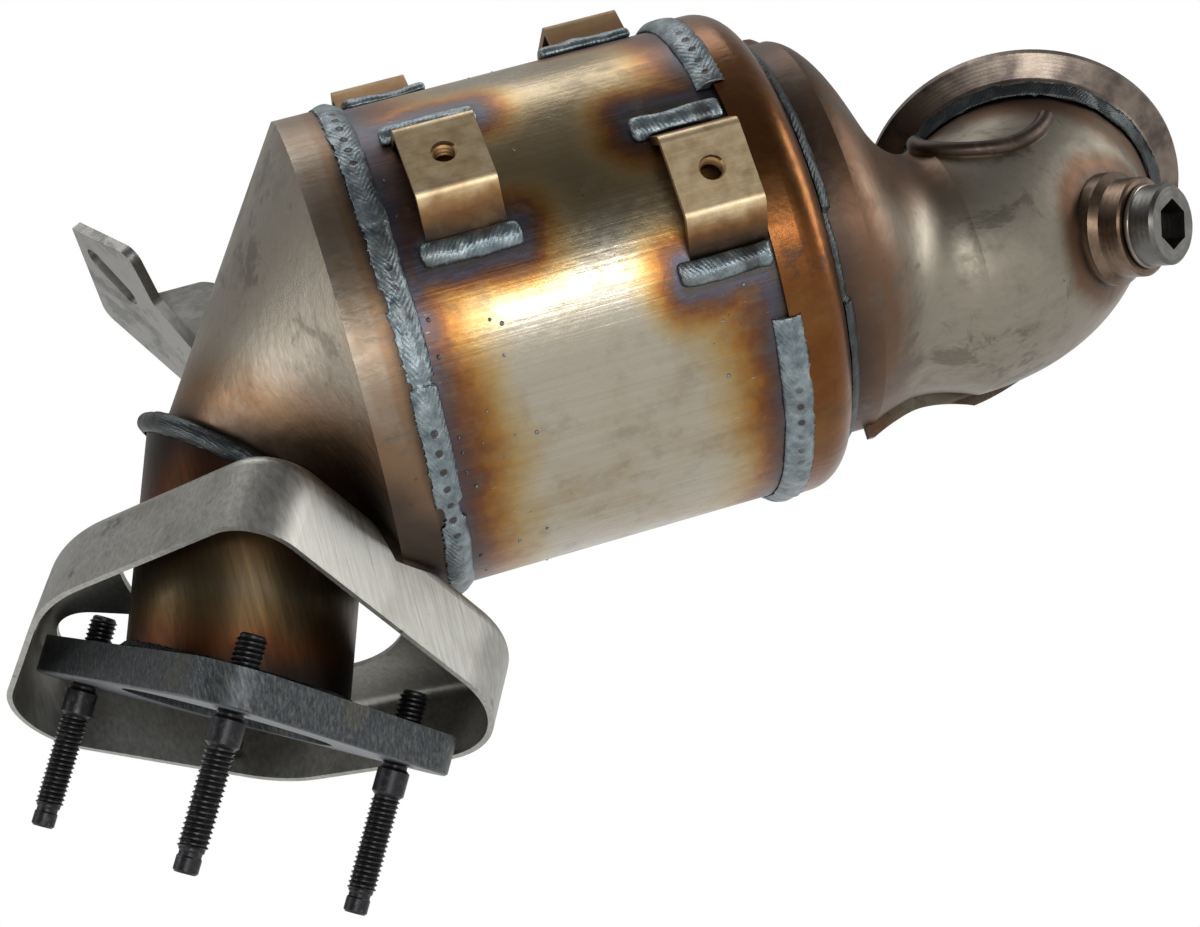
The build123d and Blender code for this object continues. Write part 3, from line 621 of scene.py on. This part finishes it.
def turned_look(name, base, dark, centre, axis, rough=0.3):
    """Turned steel with fine grooves round an axis."""
    look = Look(name)
    rings = ((look.away(centre, axis) + look.along(centre, axis)) * 4.0).sine()
    smudge = look.noise(0.10, 4.0, 0.6)
    colour = look.mix(smudge.step(0.35, 0.7), base, dark)
    return look.finish(colour, rough + smudge * 0.15, 1.0, rings * 0.4 + smudge, 0.02)


def stud_look():
    """Black oxide on the studs."""
    look = Look("stud_steel")
    wear = look.noise(0.6, 4.0, 0.65)
    colour = look.mix(wear.step(0.5, 0.8), (0.02, 0.02, 0.022), (0.09, 0.09, 0.09))
    return look.finish(colour, 0.30 + wear * 0.2, 0.7, wear, 0.04)


def brick_look():
    """Ceramic honeycomb seen at the brick's ends."""
    look = Look("brick_ceramic")
    walls = ((look.y * 5.0).sine() * (look.z * 5.0).sine()).step(0.0, 0.2)
    colour = look.mix(walls, (0.50, 0.42, 0.32), (0.08, 0.06, 0.05))
    return look.finish(colour, 0.85, 0.0, 1.0 - walls, 0.3)


def mat_look():
    """Pressed ceramic fibre."""
    look = Look("mat_fibre")
    fibre = look.noise(0.8, 5.0, 0.7)
    return look.finish(look.mix(fibre, (0.45, 0.42, 0.36), (0.74, 0.70, 0.62)), 0.9, 0.0, fibre, 0.2)


def mesh_look():
    """Knitted wire rings."""
    look = Look("seal_mesh")
    knit = ((look.x * 6.0).sine() * (look.clock * 400.0).sine()).step(-0.3, 0.5)
    return look.finish(look.mix(knit, (0.12, 0.12, 0.12), (0.55, 0.54, 0.52)), 0.4, 1.0, knit, 0.15)


RING_LINE = (RING_CENTRE, RING_AXIS)
BOSS_LINE = (BOSS_CENTRE, BOSS_AXIS)
LOOKS = {
    "can_steel": can_look(),
    "cone_steel": sheet_look(
        "cone_steel",
        base=(0.27, 0.24, 0.195),
        dark=(0.11, 0.095, 0.075),
        brown=(0.17, 0.10, 0.055),
        heat_and_shade_of=cone_heat_and_shade,
    ),
    "cap_steel": sheet_look(
        "cap_steel",
        base=(0.17, 0.075, 0.022),
        dark=(0.045, 0.03, 0.024),
        brown=(0.12, 0.042, 0.013),
        heat_and_shade_of=cap_heat,
        rough=0.22,
    ),
    "elbow_steel": sheet_look(
        "elbow_steel",
        base=(0.25, 0.225, 0.18),
        dark=(0.10, 0.085, 0.065),
        brown=(0.11, 0.055, 0.03),
        heat_and_shade_of=elbow_heat_and_shade,
        rough=0.36,
    ),
    "ring_steel": turned_look("ring_steel", (0.19, 0.155, 0.125), (0.07, 0.055, 0.05), *RING_LINE),
    "pipe_steel": pipe_look(),
    "flange_steel": flange_look(),
    "stud_steel": stud_look(),
    "guard_steel": guard_look(),
    "clip_steel": clip_look(),
    "bracket_steel": sheet_look(
        "bracket_steel",
        base=(0.30, 0.295, 0.28),
        dark=(0.10, 0.10, 0.09),
        brown=(0.14, 0.11, 0.08),
        heat_and_shade_of=bare_heat,
    ),
    "weld_metal": weld_look(),
    "boss_steel": turned_look("boss_steel", (0.17, 0.12, 0.085), (0.07, 0.045, 0.03), *BOSS_LINE),
    "plug_steel": turned_look("plug_steel", (0.14, 0.135, 0.125), (0.07, 0.066, 0.06), *BOSS_LINE),
    "gasket_steel": turned_look("gasket_steel", (0.24, 0.22, 0.19), (0.12, 0.10, 0.08), *BOSS_LINE, 0.25),
    "brick_ceramic": brick_look(),
    "mat_fibre": mat_look(),
    "seal_mesh": mesh_look(),
}


def dress_frame():
    """Gives every CAD node the look of its slot."""
    for part in frame["record"]["subparts"]:
        node = frame["nodes"][part["node"]]
        node.data.materials.clear()
        node.data.materials.append(LOOKS[part["material_slot"]])


def deselect():
    """Leaves nothing selected before an operator acts."""
    if bpy.context.object and bpy.context.object.mode != "OBJECT":
        bpy.ops.object.mode_set(mode="OBJECT")
    bpy.ops.object.select_all(action="DESELECT")


def choose(piece):
    """Makes one object the selected and active one."""
    deselect()
    piece.select_set(True)
    bpy.context.view_layer.objects.active = piece


def placed(name, data):
    """New object with its data, in the scene."""
    piece = bpy.data.objects.new(name, data)
    bpy.context.scene.collection.objects.link(piece)
    return piece


def enrol(piece, slot, node=None):
    """Dresses a finished piece, hangs it on the root body and hides the CAD node that it stands for."""
    piece.data.materials.clear()
    piece.data.materials.append(LOOKS[slot])
    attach(piece, "root")
    if node:
        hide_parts(node)


def outline_object(name, verts, edges):
    """Object with an outline of points in millimetres and the edges between them."""
    mesh = bpy.data.meshes.new(name)
    outline = bmesh.new()
    points = [outline.verts.new([value * MM for value in vert]) for vert in verts]
    for first, second in edges:
        outline.edges.new((points[first], points[second]))
    outline.to_mesh(mesh)
    outline.free()
    return placed(name, mesh)


def face_outward():
    """Merges doubles and turns the active mesh's faces outward."""
    bpy.ops.object.mode_set(mode="EDIT")
    bpy.ops.mesh.select_all(action="SELECT")
    bpy.ops.mesh.remove_doubles(threshold=DOUBLES_GAP)
    bpy.ops.mesh.normals_make_consistent(inside=False)
    bpy.ops.object.mode_set(mode="OBJECT")


def spin(piece, steps, turns=1.0, rise=0.0):
    """Turns an outline about the Z axis, with a rise in millimetres, and applies it."""
    choose(piece)
    screw = piece.modifiers.new("spin", "SCREW")
    screw.angle = 2.0 * math.pi * turns
    screw.screw_offset = rise * MM
    screw.steps = screw.render_steps = steps
    bpy.ops.object.modifier_apply(modifier="spin")


def turned(name, outline, steps=48):
    """Solid turned from (radius, height) points about the Z axis."""
    verts = [(radius, 0.0, height) for radius, height in outline]
    piece = outline_object(name, verts, [(k, k + 1) for k in range(len(verts) - 1)])
    spin(piece, steps)
    face_outward()
    return piece


def thread_ridge(name, root_r, crest_r, start, end, steps=28):
    """One helical ridge with a pointed section, closed at both ends."""
    turns = (end - start) / THREAD_PITCH - 1.0
    middle = start + THREAD_HALF
    verts = (
        (root_r, 0.0, middle - THREAD_HALF),
        (crest_r, 0.0, middle),
        (root_r, 0.0, middle + THREAD_HALF),
    )
    piece = outline_object(name, verts, ((0, 1), (1, 2), (2, 0)))
    spin(piece, int(steps * turns), turns, THREAD_PITCH * turns)
    bpy.ops.object.mode_set(mode="EDIT")
    bpy.ops.mesh.select_all(action="SELECT")
    bpy.ops.mesh.fill_holes(sides=3)
    bpy.ops.object.mode_set(mode="OBJECT")
    face_outward()
    return piece


def smooth_by_angle(piece):
    """Shades a piece smooth and keeps its sharp edges."""
    choose(piece)
    bpy.ops.object.shade_smooth_by_angle(angle=SMOOTH_ANGLE)


def join(pieces, name):
    """Joins pieces into the first one."""
    deselect()
    for piece in pieces:
        piece.select_set(True)
    bpy.context.view_layer.objects.active = pieces[0]
    bpy.ops.object.join()
    pieces[0].name = name
    return pieces[0]


def copy_to(shape, name, origin, axis, across, size=1.0):
    """Copy of a shape made round Z, with its own mesh, at an origin in millimetres and along an axis."""
    turn = Matrix((across, axis.cross(across), axis)).transposed().to_4x4()
    mesh = shape.data.copy()
    mesh.transform(Matrix.Translation(origin * MM) @ turn @ Matrix.Scale(size, 4))
    return placed(name, mesh)


def outward(clock):
    """Direction out of the can at a clock angle in degrees, 0 at the top and 90 at the front."""
    return Vector((0.0, -math.sin(math.radians(clock)), math.cos(math.radians(clock))))


def stud_shape():
    """Stud round the Z axis with threads on its inner end, its lead and its long shank."""
    inner = -FLANGE_T - STUD_INNER
    collar_end = STUD_LEAD + STUD_COLLAR
    thread_end = collar_end + STUD_THREAD
    tip = thread_end + STUD_DOG
    core = turned("stud_core", (
        (0.0, inner),
        (THREAD_ROOT_R - THREAD_CUT, inner),
        (THREAD_ROOT_R, inner + THREAD_CUT),
        (THREAD_ROOT_R, STUD_LEAD - STUD_LEAD_TAPER),
        (STUD_COLLAR_R, STUD_LEAD),
        (STUD_COLLAR_R, collar_end - THREAD_CUT),
        (THREAD_ROOT_R, collar_end + THREAD_CUT),
        (THREAD_ROOT_R, thread_end - THREAD_CUT),
        (STUD_NECK_R, thread_end),
        (STUD_NECK_R, thread_end + STUD_NECK),
        (STUD_DOG_R, thread_end + STUD_SHOULDER),
        (STUD_DOG_R, tip - STUD_DOG_CUT),
        (STUD_DOG_R - STUD_DOG_CUT, tip),
        (0.0, tip),
    ))
    root_r = THREAD_ROOT_R - THREAD_SUNK
    spans = {
        "short_thread": (inner + THREAD_MARGIN, STUD_LEAD - 2 * THREAD_MARGIN),
        "long_thread": (collar_end + THREAD_MARGIN, thread_end - THREAD_MARGIN),
    }
    threads = [thread_ridge(name, root_r, THREAD_R, *span) for name, span in spans.items()]
    shape = join([core, *threads], "stud_shape")
    smooth_by_angle(shape)
    return shape


def make_studs():
    """Three copies of the threaded stud in the flange."""
    shape = stud_shape()
    for node, (far, side) in STUD_PLACES.items():
        origin = SEAL_LONG * far + SEAL_CROSS * side
        enrol(copy_to(shape, node + "_threaded", origin, SEAL_NORMAL, SEAL_LONG), "stud_steel", node)
    bpy.data.objects.remove(shape)


def make_clip_threads():
    """Thread turns inside the tapped neck of each clip."""
    root_r = CLIP_TAP_R + CLIP_TAP_SUNK
    crest_r = CLIP_TAP_R - CLIP_TAP_HEIGHT
    shape = thread_ridge("tap_shape", root_r, crest_r, -CLIP_TAP_DEPTH, -CLIP_TAP_MARGIN)
    smooth_by_angle(shape)
    for name, (clock, start) in CLIPS.items():
        out = outward(clock)
        middle = CAN_CENTRE + ALONG_CAN * (start + CLIP_WIDTH / 2) + out * CLIP_TOP_R
        enrol(copy_to(shape, "tap_" + name, middle, out, ALONG_CAN), "clip_steel")
    bpy.data.objects.remove(shape)


def soften(piece, rounds):
    """Rounds off the active mesh."""
    soft = piece.modifiers.new("soften", "SMOOTH")
    soft.iterations = rounds
    bpy.ops.object.modifier_apply(modifier="soften")


def make_bead(node, swell, rounds):
    """Uneven weld bead, made from its CAD node by drawing the skin in here and there."""
    piece = placed(node + "_laid", frame["nodes"][node].data.copy())
    choose(piece)
    face_outward()
    grain = piece.modifiers.new("grain", "REMESH")
    grain.mode = "VOXEL"
    grain.voxel_size = BEAD_GRAIN * MM
    bpy.ops.object.modifier_apply(modifier="grain")
    soften(piece, rounds)
    mesh = piece.data
    normals = [vert.normal.copy() for vert in mesh.vertices]
    for vert, normal in zip(mesh.vertices, normals):
        place = vert.co / MM - CAN_CENTRE
        wave = noise.noise(place * 0.11) + 0.5 * noise.noise(place * 0.3)
        inward = normal * -max(0.0, BEAD_LEAST + swell * (BEAD_MEAN + BEAD_SWING * wave))
        out = Vector((0.0, place.y, place.z)).normalized()
        on_can = math.hypot(place.y, place.z) < SHELL_R + BEAD_GROUND_SKIN
        if on_can and BEAD_GROUND[0] < place.x < BEAD_GROUND[1]:
            inward -= out * inward.dot(out)
        vert.co += inward * MM
    soften(piece, LAST_BEAD_ROUNDS)
    bpy.ops.object.shade_smooth()
    enrol(piece, "weld_metal", node)


def make_beads():
    """All ring beads, and the two beads of each clip."""
    for node, swell in RING_BEADS.items():
        make_bead(node, swell, RING_BEAD_ROUNDS)
    for clip in CLIPS:
        for side in ("low", "high"):
            make_bead(f"bead_{clip}_{side}", CLIP_BEAD_SWELL, CLIP_BEAD_ROUNDS)


def make_spatter():
    """Small flattened drops of weld metal that froze on the can."""
    dice = random.Random(SPATTER_SEED)
    deselect()
    bpy.ops.mesh.primitive_ico_sphere_add(subdivisions=2, radius=MM)
    shape = bpy.context.object
    bpy.ops.object.mode_set(mode="EDIT")
    bpy.ops.mesh.select_all(action="SELECT")
    bpy.ops.transform.resize(value=DROP_SHAPE)
    bpy.ops.object.mode_set(mode="OBJECT")
    first, last = SPATTER_SPAN
    drops = []
    for number in range(SPATTER_COUNT):
        near = dice.choice(SPATTER_NEAR)
        along = min(last, max(first, near + dice.gauss(0.0, SPATTER_SPREAD)))
        out = outward(dice.uniform(*SPATTER_CLOCKS))
        size = dice.uniform(*SPATTER_SIZES)
        place = CAN_CENTRE + ALONG_CAN * along + out * SHELL_R
        drops.append(copy_to(shape, f"drop_{number}", place, out, ALONG_CAN, size))
    bpy.data.objects.remove(shape)
    spatter = join(drops, "weld_spatter")
    bpy.ops.object.shade_smooth()
    enrol(spatter, "weld_metal")


def floor_look():
    """White to the camera and in reflections, and matt to light."""
    material = bpy.data.materials.new("floor_white")
    tree = Tree(material)
    seen = tree.rays("Is Camera Ray", "Is Glossy Ray", "Is Transmission Ray")
    matt = tree.node("ShaderNodeBsdfDiffuse", {}, {"Color": FLOOR_GREY})
    white = tree.node("ShaderNodeEmission", {}, {"Color": WHITE})
    tree.blend(seen, matt, white, "ShaderNodeOutputMaterial")
    return material


def make_stage():
    """White floor under the studs that keeps a soft shadow."""
    deselect()
    low = frame_box[0][2] - FLOOR_GAP
    bpy.ops.mesh.primitive_plane_add(size=FLOOR_SIZE, location=(0.0, 0.0, low))
    floor = bpy.context.object
    floor.name = "floor"
    floor.data.materials.append(floor_look())


def make_world():
    """Even studio light that the camera sees as white, with a darker room in front."""
    world = bpy.data.worlds.new("studio")
    bpy.context.scene.world = world
    tree = Tree(world)
    place = tree.node("ShaderNodeTexCoord", {}, {}).outputs["Generated"]
    parts = tree.node("ShaderNodeSeparateXYZ", {}, {"Vector": place})
    spread = tree.node("ShaderNodeMapRange", {}, {"Value": parts.outputs["Y"], "From Min": -1.0})
    room = tree.node("ShaderNodeBackground", {}, {"Color": tree.ramp(spread.outputs[0], ROOM_STOPS)})
    white = tree.node("ShaderNodeBackground", {}, {"Color": WHITE})
    tree.blend(tree.rays("Is Camera Ray"), room, white, "ShaderNodeOutputWorld")


def make_lamps():
    """Rectangular softboxes above, in front and at both sides."""
    for name, place, size, power in LAMPS:
        lamp = bpy.data.lights.new(name, "AREA")
        lamp.shape = "RECTANGLE"
        lamp.size, lamp.size_y = size
        lamp.energy = power
        holder = placed(name, lamp)
        holder.location = place
        holder.rotation_euler = (LAMP_AIM - Vector(place)).to_track_quat("-Z", "Y").to_euler()


def make_camera():
    """Camera of the photograph: below the can, in front of the outlet, rolled."""
    camera = placed("camera", bpy.data.cameras.new("camera"))
    turn = Matrix((CAMERA_RIGHT, CAMERA_UP, CAMERA_RIGHT.cross(CAMERA_UP))).transposed().to_4x4()
    camera.matrix_world = Matrix.Translation(CAMERA_PLACE) @ turn
    camera.data.lens = CAMERA_LENS
    camera.data.sensor_width = CAMERA_SENSOR
    camera.data.sensor_fit = "HORIZONTAL"
    camera.data.clip_start = CAMERA_NEAR
    bpy.context.scene.camera = camera


dress_frame()
make_studs()
make_clip_threads()
make_beads()
make_spatter()
make_stage()
make_world()
make_lamps()
make_camera()
bpy.context.scene.view_settings.view_transform = "Standard"
